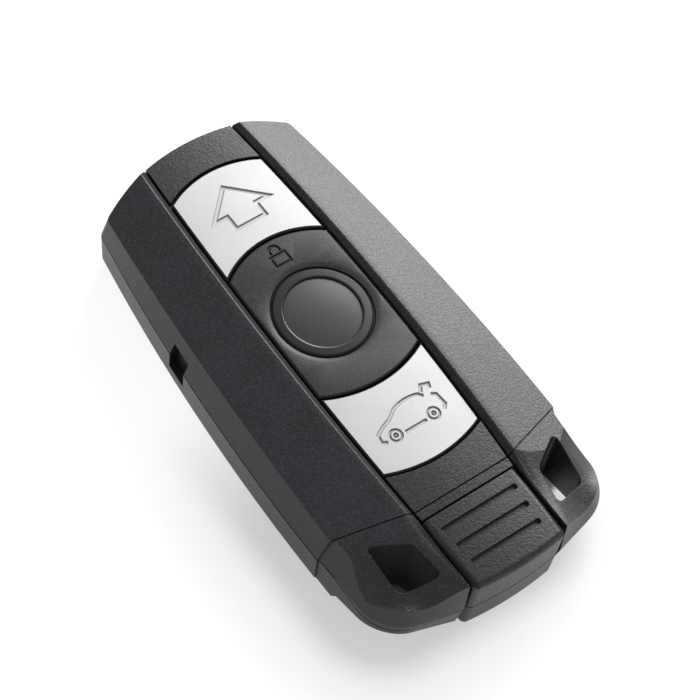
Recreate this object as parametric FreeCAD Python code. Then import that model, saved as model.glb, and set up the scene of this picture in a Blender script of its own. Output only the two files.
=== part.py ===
import FreeCAD, Part
import math
import os

# Key fob shell: a slot-in car fob with three buttons, a pull-out key and two key-ring eyelets.
# X is the width, Y runs from the key-ring end (-) to the unlock end (+), Z stands on the resting face.
# Millimetres throughout. Heights are over the resting face, and the named distances along Y are from the
# lock ring's centre.

V = FreeCAD.Vector

# Overall reach
top_reach = 33.0
tail_reach = 44.6
part_line_z = 6.7

# Side walls in plan: half width at the widest section and the radius of the side arc, at three heights
widest_shift = 24.0
part_half_width = 20.4
part_side_radius = 317.0
edge_inset = 1.47
edge_half_width = part_half_width - edge_inset
edge_side_radius = 431.0
edge_level_z = 11.0
base_inset = 0.55
base_half_width = part_half_width - base_inset
base_side_radius = 312.0
base_bevel = 1.2

# Top end in plan
end_radius = 32.0
end_corner_radius = 1.1
end_lean = 0.6

# Centre strip and the two raised lanes beside it
strip_crest_z = 13.3
strip_crown_radius = 794.0
strip_half_width = 8.5
strip_side_radius = 480.0
strip_widest_shift = 5.0
lane_rise = 0.36
lane_crown_radius = 1020.0
lane_crest_shift = 2.5
lane_offset = 1.25
lane_fall = 2.5
groove_width = 0.42
groove_depth = 0.9
groove_step = 0.06

# Shell walls
side_wall = 1.4
floor_wall = 1.2
strip_wall = 1.7
lane_wall = 1.5
lip_thickness = 0.6
lip_height = 0.8
lip_clearance = 0.08

# Button row: apex of each arc from the ring centre, and its radius
unlock_top_apex = 26.56
unlock_top_radius = 15.7
lock_top_apex = 13.0
lock_top_radius = 14.0
lock_bottom_apex = 12.5
lock_bottom_radius = 18.5
trunk_bottom_apex = 25.9
trunk_bottom_radius = 21.8
button_gap = 0.36
window_clearance = 0.2
button_travel = 0.3
button_edge_break = 0.22
button_skin = 1.3
button_rim = 1.1
flange_reach = 0.55
flange_thickness = 0.5
stem_radius = 1.7

# Lock panel's dish, ring and blank disc
dish_radius = 8.1
dish_depth = 0.3
ring_outer_radius = 6.9
ring_inner_radius = 5.5
ring_top_drop = 0.1
ring_groove_width = 0.22
disc_clearance = 0.06
disc_thickness = 1.2
disc_dome = 0.25

# Ring end: seam, crossbar, ears and eyelets
seam_inner_shift = 30.94
seam_lane_shift = 30.7
seam_outer_shift = 27.7
crossbar_width = 1.36
ear_inner_half = 8.25
ear_seam_inset = 0.25
ear_seam_half = part_half_width - ear_seam_inset
ear_side_inset = 0.52
ear_side_half = part_half_width - ear_side_inset
ear_end_shift = 45.76
ear_end_slope = 0.23
ear_corner_radius = 7.0
ear_base_corner_radius = 4.8
ear_seam_lean = 0.4
ear_side_lean = 0.45
ear_top_end_spread = 1.5
ear_top_end_slope = 0.49
ear_top_corner_radius = 3.5
ear_rail_width = 1.25
ear_part_corner = (18.0, 40.6, 5.6)
ear_part_side = (19.9, 29.5, 6.7)
ear_part_end = (8.25, 43.9, 6.7)
ear_crease_inset = 1.05
ear_overlap = 3.0
ear_bevel_corner = (17.5, 41.0, 4.7)
ear_bevel_side = (20.0, 29.4, 2.1)
ear_bevel_end = (11.0, 43.2, 3.2)
# Ear top: distance from the ring, then its drop under the strip's crest at the rail's two edges, the dished
# middle, beside the outer crease, on the crease and beyond it
ear_top_rows = (
    (27.5, -0.45, -0.45, -0.05, 0.65, 1.3, 1.9),
    (31.0, 0.1, 0.15, 0.7, 1.5, 2.7, 3.5),
    (34.5, 0.6, 0.75, 1.55, 2.6, 4.45, 5.7),
    (39.0, 0.7, 1.1, 2.85, 3.55, 4.25, 4.9),
    (46.0, 0.95, 2.0, 3.5, 3.9, 4.3, 4.6),
)
eyelet_top_outer = (16.1, 30.9)
eyelet_top_inner = (10.6, 34.35)
eyelet_tail_inner = (9.85, 39.85)
eyelet_tail_outer = (15.7, 38.5)
eyelet_tight_round = 0.6
eyelet_wide_round = 1.4
joint_line_width = 0.22
joint_line_depth = 0.28
spigot_length = 2.2
spigot_clearance = 0.15

# Pull-out key: tab, shank, blade
tab_half_width = 7.85
tab_side_radius = 420.0
tab_gap = 0.3
tab_top_drop = 0.66
tab_end_radius = 56.0
tab_corner_radius = 0.9
tab_edge_round = 0.9
tab_bevel_inset = 1.6
tab_bevel_height = 2.4
tab_groove_first = 34.9
tab_groove_pitch = 2.88
tab_groove_count = 3
tab_groove_length = 12.7
tab_groove_taper = 0.5
tab_groove_width = 0.85
tab_groove_depth = 0.45
shank_half_width = 5.0
shank_length = 10.0
shank_bottom_z = 1.95
shank_top_z = 5.3
shank_clearance = 0.3
blade_width = 8.0
blade_thickness = 2.2
blade_bottom_z = 2.35
blade_length = 43.0
blade_root = 8.0
blade_tip_length = 3.0
blade_track_width = 2.0
blade_track_depth = 0.6
pin_radius = 1.0
pin_clearance = 0.02

# Release slide on the rear
release_shift = 25.4
release_pad_length = 5.0
release_pad_width = 6.0
release_travel = 1.2
release_clearance = 0.25
release_recess = 0.25
release_plate_thickness = 0.45
release_plate_margin = 0.6
release_tooth_thickness = 1.0
release_tooth_width = 2.2
release_tooth_height = 2.6
notch_depth = 0.6
spring_radius = 1.0
spring_length = 4.0

# Side notches that hold the fob in the dashboard slot
side_notch_shift = 6.4
side_notch_length = 3.7
side_notch_low_z = 3.3
side_notch_high_z = 8.9
side_notch_depth = 1.9
side_notch_wall = 0.9

# Electronics
board_bottom_z = 7.3
board_thickness = 0.8
board_half_width = 12.6
board_top_shift = 27.4
board_tail_shift = 18.8
board_corner = 2.0
switch_side = 4.4
switch_height = 1.0
plunger_radius = 1.2
plunger_clearance = 0.06
plunger_stand = 0.4
plunger_sink = 0.3
pad_radius = 2.6
pad_thickness = 0.7
pad_clearance = 0.3
sheet_thickness = 0.4
sheet_margin = 0.9
unlock_switch_shift = 19.0
trunk_switch_shift = 18.3
cell_radius = 10.0
cell_height = 1.6
cell_edge_break = 0.3
cell_shift = 1.0
contact_thickness = 0.2
contact_width = 3.0
cradle_wall = 0.9
cradle_clearance = 0.2
guide_half_width = 5.8
guide_clearance = 0.15
guide_roof = 0.4
guide_start_clearance = 0.8
guide_end_wall = 1.5
post_radius = 1.2
post_x = 11.1
post_top_shift = 24.0
post_tail_shift = 15.5
peg_radius = 0.6
peg_clearance = 0.08
antenna_shift = 17.2
antenna_length = 9.0
antenna_winding_length = 6.4
antenna_x = 9.6
antenna_core = 1.6
antenna_winding = 1.2
chip_side = 5.0
chip_height = 0.85
chip_shift = 10.0
chip_x = 7.0
crystal_x = -7.0
crystal_length = 3.2
crystal_width = 2.0
crystal_height = 0.7
small_clearance = 0.3
running_clearance = 0.15
margin = 2.0

# Places worked out from the sizes
ring_y = (tail_reach - top_reach) / 2
top_y = ring_y + top_reach
tail_y = ring_y - tail_reach
widest_y = ring_y - widest_shift
seam_y = ring_y - seam_inner_shift
crossbar_tail_y = seam_y - crossbar_width
head_y = crossbar_tail_y - tab_gap
lane_crest_z = strip_crest_z + lane_rise
above_z = lane_crest_z + 1.0
board_top_z = board_bottom_z + board_thickness
switch_top_z = board_top_z + switch_height
plunger_top_z = switch_top_z + plunger_stand
stem_bottom_z = plunger_top_z + pad_thickness
flange_bottom_z = stem_bottom_z + small_clearance
sheet_top_z = flange_bottom_z - button_travel - 0.05
blade_top_z = blade_bottom_z + blade_thickness
guide_top_z = blade_top_z + guide_clearance + guide_roof
cell_bottom_z = guide_top_z + contact_thickness
cell_top_z = cell_bottom_z + cell_height
tab_top_z = strip_crest_z - tab_top_drop
antenna_radius = antenna_core * math.sqrt(0.5) + antenna_winding / 2
antenna_z = board_bottom_z - antenna_radius - 0.05
spring_z = floor_wall + 0.05 + release_plate_thickness + spring_radius + 0.2
spring_x = shank_half_width + running_clearance + release_tooth_thickness
shank_tip_y = head_y + shank_length
blade_tip_y = shank_tip_y + blade_length
release_y = ring_y - release_shift
unlock_switch_y = ring_y + unlock_switch_shift
trunk_switch_y = ring_y - trunk_switch_shift
cell_y = ring_y + cell_shift
post_rows = (ring_y + post_top_shift, ring_y - post_tail_shift)
post_places = [(side * post_x, y) for side in (-1, 1) for y in post_rows]


# Curves in plan and elevation
def drop(radius, distance):
    return radius - math.sqrt(radius * radius - distance * distance)


def half_width(widest, radius, at_y, y):
    return widest - drop(radius, y - at_y)


def strip_half(y):
    return half_width(strip_half_width, strip_side_radius, ring_y - strip_widest_shift, y)


def lane_inner_half(y):
    return strip_half(y) + lane_offset


def edge_half(y):
    return half_width(edge_half_width, edge_side_radius, widest_y, y)


def strip_z(y):
    return strip_crest_z - drop(strip_crown_radius, y - ring_y)


def lane_z(y):
    return lane_crest_z - drop(lane_crown_radius, y - ring_y + lane_crest_shift)


# Drawing helpers
def line(a, b):
    return Part.makeLine(a, b)


def arc(a, middle, b):
    return Part.Arc(a, middle, b).toShape()


def unit(v):
    return v * (1.0 / v.Length)


def box(x0, x1, y0, y1, z0, z1):
    return Part.makeBox(x1 - x0, y1 - y0, z1 - z0, V(x0, y0, z0))


def cylinder(radius, x, y, z0, z1):
    return Part.makeCylinder(radius, z1 - z0, V(x, y, z0))


def extrude_up(wire, height):
    return Part.Face(wire).extrude(V(0, 0, height))


def rounded_polygon(points, radii, z):
    # A closed outline through the corners, each rounded by its own radius (0 keeps it sharp)
    corners = [V(x, y, z) for x, y in points]
    count = len(corners)
    spans = []
    for i, corner in enumerate(corners):
        radius = radii[i]
        back = unit(corners[i - 1] - corner)
        ahead = unit(corners[(i + 1) % count] - corner)
        if radius <= 0:
            spans.append((corner, None, corner))
            continue
        half_angle = back.getAngle(ahead) / 2
        reach = radius / math.tan(half_angle)
        centre = corner + unit(back + ahead) * (radius / math.sin(half_angle))
        middle = centre + unit(corner - centre) * radius
        spans.append((corner + back * reach, middle, corner + ahead * reach))
    edges = []
    for i, (start, middle, end) in enumerate(spans):
        if middle is not None:
            edges.append(arc(start, middle, end))
        following = spans[(i + 1) % count][0]
        if (following - end).Length > 1e-6:
            edges.append(line(end, following))
    return Part.Wire(edges)


def barrel_outline(z, widest, side_radius, at_y, apex_y, arc_radius, corner_radius, back_y, inset, toward):
    # An outline with barrel sides and one arched end, its corners tangent to both; toward is +1 or -1 along Y
    side = V(widest - side_radius, at_y * toward, 0)
    side_r = side_radius - inset
    end = V(0, apex_y * toward - arc_radius, 0)
    end_r = arc_radius - inset
    corner_r = max(corner_radius - inset, 0.3)
    span = (end - side).Length
    from_side = side_r - corner_r
    from_end = end_r - corner_r
    along = (from_side**2 - from_end**2 + span**2) / (2 * span)
    rise = math.sqrt(from_side**2 - along**2)
    axis = unit(end - side)
    centre = side + axis * along + V(-axis.y, axis.x, 0) * rise
    touch_side = side + unit(centre - side) * side_r
    touch_end = end + unit(centre - end) * end_r
    back_x = side.x + math.sqrt(side_r**2 - (back_y * toward - side.y) ** 2)
    start = V(back_x, back_y * toward, 0)
    side_mid = side + unit((start + touch_side) * 0.5 - side) * side_r
    corner_mid = centre + unit(unit(touch_side - centre) + unit(touch_end - centre)) * corner_r

    def place(p, mirror):
        return V(p.x * mirror, p.y * toward, z)

    apex = V(0, end.y + end_r, 0)
    return Part.Wire([
        arc(place(start, 1), place(side_mid, 1), place(touch_side, 1)),
        arc(place(touch_side, 1), place(corner_mid, 1), place(touch_end, 1)),
        arc(place(touch_end, 1), place(apex, 1), place(touch_end, -1)),
        arc(place(touch_end, -1), place(corner_mid, -1), place(touch_side, -1)),
        arc(place(touch_side, -1), place(side_mid, -1), place(start, -1)),
        line(place(start, -1), place(start, 1)),
    ])


def stack(wires):
    # A solid that passes straight from each outline to the next one above it
    return Part.makeLoft(wires, True, True)


def one_solid(shape):
    return shape.removeSplitter()


# Case walls: the outline at the parting line, and where the upper wall leans to
def case_outline(z, level, inset):
    back_y = tail_y - margin
    if level == "part":
        values = (part_half_width, part_side_radius, top_y)
    elif level == "top":
        lean = (part_half_width - edge_half_width) / (edge_level_z - part_line_z) * (above_z - part_line_z)
        end_shift = end_lean / (edge_level_z - part_line_z) * (above_z - part_line_z)
        top_side_radius = edge_side_radius + (edge_side_radius - part_side_radius) * (
            (above_z - edge_level_z) / (edge_level_z - part_line_z)
        )
        values = (part_half_width - lean, top_side_radius, top_y - end_shift)
    else:
        values = (base_half_width, base_side_radius, top_y - end_lean)
    widest, radius, apex = values
    return barrel_outline(z, widest, radius, widest_y, apex, end_radius, end_corner_radius, back_y, inset, 1)


def upper_walls(inset):
    return stack([case_outline(part_line_z, "part", inset), case_outline(above_z, "top", inset)])


def lower_walls(inset, floor_z, bevel):
    wires = [case_outline(floor_z + bevel, "base", inset), case_outline(part_line_z, "part", inset)]
    if bevel > 0:
        wires.insert(0, case_outline(floor_z, "base", inset + bevel))
    return stack(wires)


def top_section(y, strip_drop, lane_drop, with_groove):
    # The case's top line across one section, closed underneath at half height
    reach = part_half_width + margin
    inner = lane_inner_half(y)
    edge = edge_half(y)
    strip_edge = strip_half(y)
    strip_top = strip_z(y) - strip_drop
    lane_top = lane_z(y) - lane_drop
    edge_z = lane_top - lane_fall
    far_z = edge_z - 1.15 * lane_fall * (reach - edge) / (edge - inner)
    bottom_z = part_line_z / 2
    half = [(strip_edge, strip_top)]
    if with_groove:
        half.append((strip_edge, strip_top - groove_depth))
        half.append((strip_edge + groove_width, strip_top - groove_depth))
    half.append((strip_edge + groove_width, strip_top - groove_step))
    half.append((inner, lane_top))
    right = [V(x, y, z) for x, z in half]
    left = [V(-x, y, z) for x, z in half]
    edges = [line(left[0], right[0])]
    edges += [line(a, b) for a, b in zip(right, right[1:])]
    edges.append(arc(right[-1], V(edge, y, edge_z), V(reach, y, far_z)))
    edges.append(line(V(reach, y, far_z), V(reach, y, bottom_z)))
    edges.append(line(V(reach, y, bottom_z), V(-reach, y, bottom_z)))
    edges.append(line(V(-reach, y, bottom_z), V(-reach, y, far_z)))
    edges.append(arc(V(-reach, y, far_z), V(-edge, y, edge_z), left[-1]))
    edges += [line(b, a) for a, b in zip(left[::-1][1:], left[::-1])]
    return Part.Wire(Part.__sortEdges__(edges))


def top_body(strip_drop, lane_drop, with_groove):
    first = tail_y - margin
    last = top_y + margin
    stations = [first + (last - first) * i / 3 for i in range(4)]
    return Part.makeLoft([top_section(y, strip_drop, lane_drop, with_groove) for y in stations], True, False)


def crown_body(crest_z, radius, half, z0, shift):
    # Everything under a surface that arches along Y only
    first = V(-half, tail_y - margin, crest_z - drop(radius, tail_y - margin - ring_y + shift))
    middle = V(-half, ring_y - shift, crest_z)
    last = V(-half, top_y + margin, crest_z - drop(radius, top_y + margin - ring_y + shift))
    wire = Part.Wire([
        arc(first, middle, last),
        line(last, V(-half, top_y + margin, z0)),
        line(V(-half, top_y + margin, z0), V(-half, tail_y - margin, z0)),
        line(V(-half, tail_y - margin, z0), first),
    ])
    return Part.Face(wire).extrude(V(2 * half, 0, 0))


def seam_prism(shift):
    # Plan of the case on the unlock side of the seam; shift moves the seam tailward
    reach = part_half_width + margin
    lane_x = lane_inner_half(seam_y)
    edge_x = edge_half(ring_y - seam_outer_shift)
    seam = [
        (reach, ring_y - seam_outer_shift - shift),
        (edge_x, ring_y - seam_outer_shift - shift),
        (lane_x, ring_y - seam_lane_shift - shift),
        (strip_half(seam_y), seam_y - shift),
    ]
    points = seam + [(-x, y) for x, y in reversed(seam)] + [(-reach, top_y + margin), (reach, top_y + margin)]
    wire = rounded_polygon(points, [0] * len(points), -1.0)
    return extrude_up(wire, above_z + margin)


def case_core(inset):
    # The case drawn in by the same amount all round
    upper = upper_walls(inset).common(top_body(inset, inset, False))
    return upper.fuse(lower_walls(inset, inset, 0))


def seam_line():
    # The narrow groove where the covers meet the ring end, all round the case
    half = joint_line_width / 2
    return seam_prism(half).cut(seam_prism(-half)).cut(case_core(joint_line_depth))


def part_line(outline):
    # The narrow groove where an upper and a lower piece meet, outside the given outline
    reach = part_half_width + margin
    low = part_line_z - joint_line_width / 2
    band = box(-reach, reach, tail_y - 2 * margin, top_y + margin, low, low + joint_line_width)
    return band.cut(extrude_up(outline, joint_line_width))


def cover_part_line():
    return part_line(case_outline(part_line_z - joint_line_width / 2, "part", joint_line_depth))


def side_notch(side, grow):
    y = ring_y + side_notch_shift
    surface = half_width(part_half_width, part_side_radius, widest_y, y)
    x0 = side * (surface - side_notch_depth - grow)
    x1 = side * (surface + margin)
    return box(
        min(x0, x1), max(x0, x1),
        y - side_notch_length / 2 - grow, y + side_notch_length / 2 + grow,
        side_notch_low_z - grow, side_notch_high_z + grow,
    )


def both_notches(grow):
    return side_notch(-1, grow).fuse(side_notch(1, grow))


# Button outlines: an arc is (centre y, radius, bulge), where bulge +1 arches towards the unlock end
unlock_top_arc = (ring_y + unlock_top_apex - unlock_top_radius, unlock_top_radius, 1)
lock_top_arc = (ring_y + lock_top_apex - lock_top_radius, lock_top_radius, 1)
lock_bottom_arc = (ring_y - lock_bottom_apex + lock_bottom_radius, lock_bottom_radius, -1)
trunk_bottom_arc = (ring_y - trunk_bottom_apex + trunk_bottom_radius, trunk_bottom_radius, -1)


def moved_arc(curve, along_y):
    centre, radius, bulge = curve
    return (centre, radius + along_y * bulge, bulge)


def arc_y(curve, x):
    centre, radius, bulge = curve
    return centre + bulge * math.sqrt(radius * radius - x * x)


def corner_on(curve, side_growth):
    y = arc_y(curve, strip_half_width)
    for _ in range(30):
        x = strip_half(y) + side_growth
        y = arc_y(curve, x)
    return x, y


def row_outline(top_arc, bottom_arc, side_growth, z):
    top_x, top_corner_y = corner_on(top_arc, side_growth)
    bottom_x, bottom_corner_y = corner_on(bottom_arc, side_growth)
    middle_y = (top_corner_y + bottom_corner_y) / 2
    middle_x = strip_half(middle_y) + side_growth
    return Part.Wire([
        arc(V(bottom_x, bottom_corner_y, z), V(middle_x, middle_y, z), V(top_x, top_corner_y, z)),
        arc(V(top_x, top_corner_y, z), V(0, arc_y(top_arc, 0), z), V(-top_x, top_corner_y, z)),
        arc(V(-top_x, top_corner_y, z), V(-middle_x, middle_y, z), V(-bottom_x, bottom_corner_y, z)),
        arc(V(-bottom_x, bottom_corner_y, z), V(0, arc_y(bottom_arc, 0), z), V(bottom_x, bottom_corner_y, z)),
    ])


def window_prism():
    top = moved_arc(unlock_top_arc, button_gap)
    bottom = moved_arc(trunk_bottom_arc, -button_gap)
    return extrude_up(row_outline(top, bottom, window_clearance, part_line_z), above_z)


# Covers
def front_cavity():
    ceiling = top_body(strip_wall, lane_wall, False)
    cavity = upper_walls(side_wall).common(ceiling)
    cavity = cavity.cut(both_notches(side_notch_wall))
    for x, y in post_places:
        cavity = cavity.cut(cylinder(post_radius, x, y, board_top_z + small_clearance / 2, above_z))
    return cavity


def lip_band(z0, z1, outer_inset, inner_inset):
    outer = extrude_up(case_outline(z0, "part", outer_inset), z1 - z0)
    inner = extrude_up(case_outline(z0, "part", inner_inset), z1 - z0)
    return outer.cut(inner)


def front_cover():
    shell = upper_walls(0).common(top_body(0, 0, True))
    shell = shell.cut(window_prism())
    shell = shell.cut(front_cavity())
    rebate = lip_band(
        part_line_z, part_line_z + lip_height + lip_clearance,
        side_wall - lip_thickness - lip_clearance, side_wall + margin,
    )
    shell = shell.cut(rebate.cut(both_notches(side_notch_wall)))
    shell = shell.cut(both_notches(0)).cut(cover_part_line()).cut(seam_line())
    return one_solid(shell.common(seam_prism(0)))


def rear_cover():
    shell = lower_walls(0, 0, base_bevel)
    cavity = lower_walls(side_wall, floor_wall, 0).cut(both_notches(side_notch_wall))
    for x, y in post_places:
        cavity = cavity.cut(cylinder(post_radius, x, y, 0, board_bottom_z))
    shell = shell.cut(cavity)
    lip = lip_band(part_line_z, part_line_z + lip_height, side_wall - lip_thickness, side_wall)
    lip = lip.cut(both_notches(side_notch_wall + lip_clearance))
    lip = lip.common(seam_prism(-spigot_length - spigot_clearance - margin))
    shell = shell.fuse(lip)
    for x, y in post_places:
        shell = shell.fuse(cylinder(post_radius, x, y, floor_wall / 2, board_bottom_z))
        shell = shell.fuse(cylinder(peg_radius, x, y, floor_wall / 2, board_top_z))
    shell = shell.fuse(spring_stop())
    shell = shell.cut(both_notches(0)).cut(cover_part_line()).cut(seam_line())
    shell = shell.cut(release_window())
    return one_solid(shell.common(seam_prism(0)))


def release_window():
    half_y = release_pad_length / 2 + release_clearance
    x0 = -release_pad_width / 2 - release_clearance
    x1 = release_pad_width / 2 + release_travel + release_clearance
    y0 = release_y - half_y
    y1 = release_y + half_y
    points = [(x0, y0), (x1, y0), (x1, y1), (x0, y1)]
    return extrude_up(rounded_polygon(points, [0.8] * 4, -1.0), floor_wall + 1.0 + margin / 4)


# Ring end: two ears joined by a crossbar, in an upper and a lower half
def ear_outline(z, seam_lean, side_lean, end_lean_in, radius, slant):
    # Sides that swell from the seam, a round outer corner, and an end that slants to a point on the centre line
    seam = V(ear_seam_half - seam_lean, ring_y - seam_outer_shift, z)
    side_x = ear_side_half - side_lean
    slant_length = math.sqrt(1 + slant * slant)
    end_y = ring_y - ear_end_shift + end_lean_in
    centre = V(side_x - radius, end_y + slant * (side_x - radius) + radius * slant_length, z)
    touch_side = V(side_x, centre.y, z)
    touch_end = centre + V(slant, -1, 0) * (radius / slant_length)
    corner_mid = centre + unit(unit(touch_side - centre) + unit(touch_end - centre)) * radius
    control = V(side_x, (seam.y + touch_side.y) / 2, z)
    start = seam + unit(seam - control) * ear_overlap
    point = V(0, end_y, z)

    def flip(p):
        return V(-p.x, p.y, p.z)

    def side_curve(a, b, c):
        curve = Part.BezierCurve()
        curve.setPoles([a, b, c])
        return curve.toShape()

    return Part.Wire([
        line(start, seam),
        side_curve(seam, control, touch_side),
        arc(touch_side, corner_mid, touch_end),
        line(touch_end, point),
        line(point, flip(touch_end)),
        arc(flip(touch_end), flip(corner_mid), flip(touch_side)),
        side_curve(flip(touch_side), flip(control), flip(seam)),
        line(flip(seam), flip(start)),
        line(flip(start), start),
    ])


def tab_space():
    return box(-ear_inner_half, ear_inner_half, tail_y - 2 * margin, crossbar_tail_y, -1.0, above_z + 1.0)


def eyelets():
    holes = []
    for side in (-1, 1):
        corners = [eyelet_top_outer, eyelet_top_inner, eyelet_tail_inner, eyelet_tail_outer]
        points = [(side * x, ring_y - shift) for x, shift in corners]
        radii = [eyelet_tight_round, eyelet_wide_round, eyelet_tight_round, eyelet_wide_round]
        holes.append(extrude_up(rounded_polygon(points, radii, -margin), above_z + 2 * margin))
    return holes[0].fuse(holes[1])


def outside_case():
    reach = part_half_width + margin
    return box(-reach, reach, tail_y - 2 * margin, top_y, -1.0, above_z + 1.0).cut(seam_prism(0))


def ear_top():
    # Everything under both ears' dished tops, each lofted through its rows of drops
    rail = ear_inner_half + ear_rail_width
    crease = ear_side_half - ear_crease_inset
    outside = part_half_width + margin / 2
    across = [ear_inner_half, rail, (rail + crease) / 2 - 1.0, crease - 2.4, crease, outside]
    bottom_z = part_line_z / 2
    bodies = []
    for side in (-1, 1):
        wires = []
        for row in ear_top_rows:
            y = ring_y - row[0]
            top = [V(side * x, y, strip_crest_z - fall) for x, fall in zip(across, row[1:])]
            low_in = V(side * across[0], y, bottom_z)
            low_out = V(side * across[-1], y, bottom_z)
            curve = Part.BSplineCurve()
            curve.interpolate(top)
            walls = [line(low_in, top[0]), line(top[-1], low_out)]
            wires.append(Part.Wire([walls[0], curve.toShape(), walls[1], line(low_out, low_in)]))
        bodies.append(Part.makeLoft(wires, True, False))
    return bodies[0].fuse(bodies[1])


def ear_walls():
    # Both ears from the base to above the top, with the crossbar between them
    rise = above_z - part_line_z
    upper = stack([
        ear_outline(part_line_z, 0, 0, 0, ear_corner_radius, ear_end_slope),
        ear_outline(
            above_z, ear_seam_lean * rise, ear_side_lean * rise, -ear_top_end_spread,
            ear_top_corner_radius, ear_top_end_slope,
        ),
    ])
    between = box(-ear_inner_half, ear_inner_half, crossbar_tail_y - margin / 2, seam_y, 0, above_z)
    crossbar = upper.common(between)
    upper = upper.common(ear_top()).fuse(crossbar).common(top_body(0, 0, True))
    lower = stack([
        ear_outline(0, 1.4, 1.2, 1.6, ear_base_corner_radius + 1.0, ear_end_slope),
        ear_outline(base_bevel, 0.5, 0.3, 0.8, ear_base_corner_radius, ear_end_slope),
        ear_outline(part_line_z, 0, 0, 0, ear_corner_radius, ear_end_slope),
    ])
    return upper.fuse(lower).common(outside_case()).cut(tab_space())


def sloping_blocks(places, thickness):
    # On each side, the block between a plane through three places and the same plane moved up by the thickness
    reach = 4 * part_half_width
    blocks = []
    for side in (-1, 1):
        corner, flank, end = [V(side * x, ring_y - shift, z) for x, shift, z in places]
        normal = unit((flank - corner).cross(end - corner))
        if normal.z < 0:
            normal = normal * -1
        turn = FreeCAD.Rotation(V(0, 0, 1), normal)
        face = Part.makePlane(reach, reach)
        face.Placement = FreeCAD.Placement(corner - turn.multVec(V(reach / 2, reach / 2, 0)), turn)
        half = box(min(0, side * reach), max(0, side * reach), -reach, seam_y, -reach, reach)
        blocks.append(face.extrude(V(0, 0, thickness)).common(half))
    return blocks[0].fuse(blocks[1])


def ear_lower_room(rise):
    # What lies under the parting surface, which dips towards each ear's outer corner
    reach = part_half_width + margin
    flat = box(-reach, reach, tail_y - 2 * margin, top_y, -margin, part_line_z + rise)
    places = [(x, shift, z + rise) for x, shift, z in (ear_part_corner, ear_part_side, ear_part_end)]
    return flat.cut(sloping_blocks(places, 2 * part_line_z))


def ear_lines():
    # The grooves along the ears' parting surface and along the seam
    half = joint_line_width / 2
    inset = joint_line_depth
    outline = ear_outline(part_line_z / 2, inset, inset, inset, ear_corner_radius - inset, ear_end_slope)
    band = ear_lower_room(half).cut(ear_lower_room(-half))
    return band.cut(extrude_up(outline, part_line_z)).fuse(seam_line())


def ring_end_upper():
    ears = ear_walls().cut(ear_lower_room(0)).cut(ear_lines())
    spigot = upper_walls(side_wall + spigot_clearance).common(
        top_body(strip_wall + spigot_clearance, lane_wall + spigot_clearance, False)
    )
    spigot = spigot.common(seam_prism(0)).cut(seam_prism(-spigot_length))
    return one_solid(ears.fuse(spigot).cut(eyelets()))


def ring_end_lower():
    ears = ear_walls().common(ear_lower_room(0)).cut(ear_lines())
    ears = ears.cut(sloping_blocks((ear_bevel_corner, ear_bevel_side, ear_bevel_end), -4 * part_half_width))
    spigot = lower_walls(side_wall + spigot_clearance, floor_wall, 0)
    spigot = spigot.common(seam_prism(0)).cut(seam_prism(-spigot_length))
    ears = ears.fuse(spigot)
    passage = box(
        -shank_half_width - shank_clearance, shank_half_width + shank_clearance,
        crossbar_tail_y - margin, seam_y + spigot_length + margin,
        shank_bottom_z - running_clearance, shank_top_z + running_clearance,
    )
    return one_solid(ears.cut(passage).cut(eyelets()))


# Buttons
def button_cap(top_arc, bottom_arc, flange_top_arc, flange_bottom_arc, stem_y):
    solid = extrude_up(row_outline(top_arc, bottom_arc, 0, flange_bottom_z), above_z)
    solid = solid.common(crown_body(strip_crest_z, strip_crown_radius, strip_half_width + margin, 0, 0))
    top_edges = [e for e in solid.Edges if e.BoundBox.ZMin > flange_bottom_z + 1]
    top_edges = [e for e in top_edges if e.BoundBox.XLength > 1 or e.BoundBox.YLength > 1]
    solid = solid.makeChamfer(button_edge_break, top_edges)
    flange_z1 = flange_bottom_z + flange_thickness
    flange = extrude_up(
        row_outline(flange_top_arc, flange_bottom_arc, window_clearance + flange_reach, flange_bottom_z),
        flange_z1 - flange_bottom_z,
    )
    solid = solid.fuse(flange)
    pocket = extrude_up(
        row_outline(moved_arc(top_arc, -button_rim), moved_arc(bottom_arc, button_rim), -button_rim, 0), above_z
    )
    ceiling = crown_body(strip_crest_z - button_skin, strip_crown_radius, strip_half_width + margin, 0, 0)
    pocket = pocket.common(ceiling)
    solid = solid.cut(pocket)
    stem = cylinder(stem_radius, 0, stem_y, stem_bottom_z, strip_z(stem_y) - button_skin / 2)
    return one_solid(solid.fuse(stem))


def unlock_button():
    bottom = moved_arc(lock_top_arc, button_gap)
    return button_cap(
        unlock_top_arc, bottom, moved_arc(unlock_top_arc, button_gap + flange_reach), bottom, unlock_switch_y
    )


def trunk_button():
    top = moved_arc(lock_bottom_arc, -button_gap)
    return button_cap(
        top, trunk_bottom_arc, top, moved_arc(trunk_bottom_arc, -button_gap - flange_reach), trunk_switch_y
    )


def revolved(points):
    corners = [V(x, 0, z) for x, z in points]
    wire = Part.makePolygon(corners + [corners[0]])
    solid = Part.Face(wire).revolve(V(0, 0, 0), V(0, 0, 1), 360)
    solid.translate(V(0, ring_y, 0))
    return solid


def disc_seat_z():
    return strip_crest_z - ring_top_drop - disc_thickness


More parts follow.
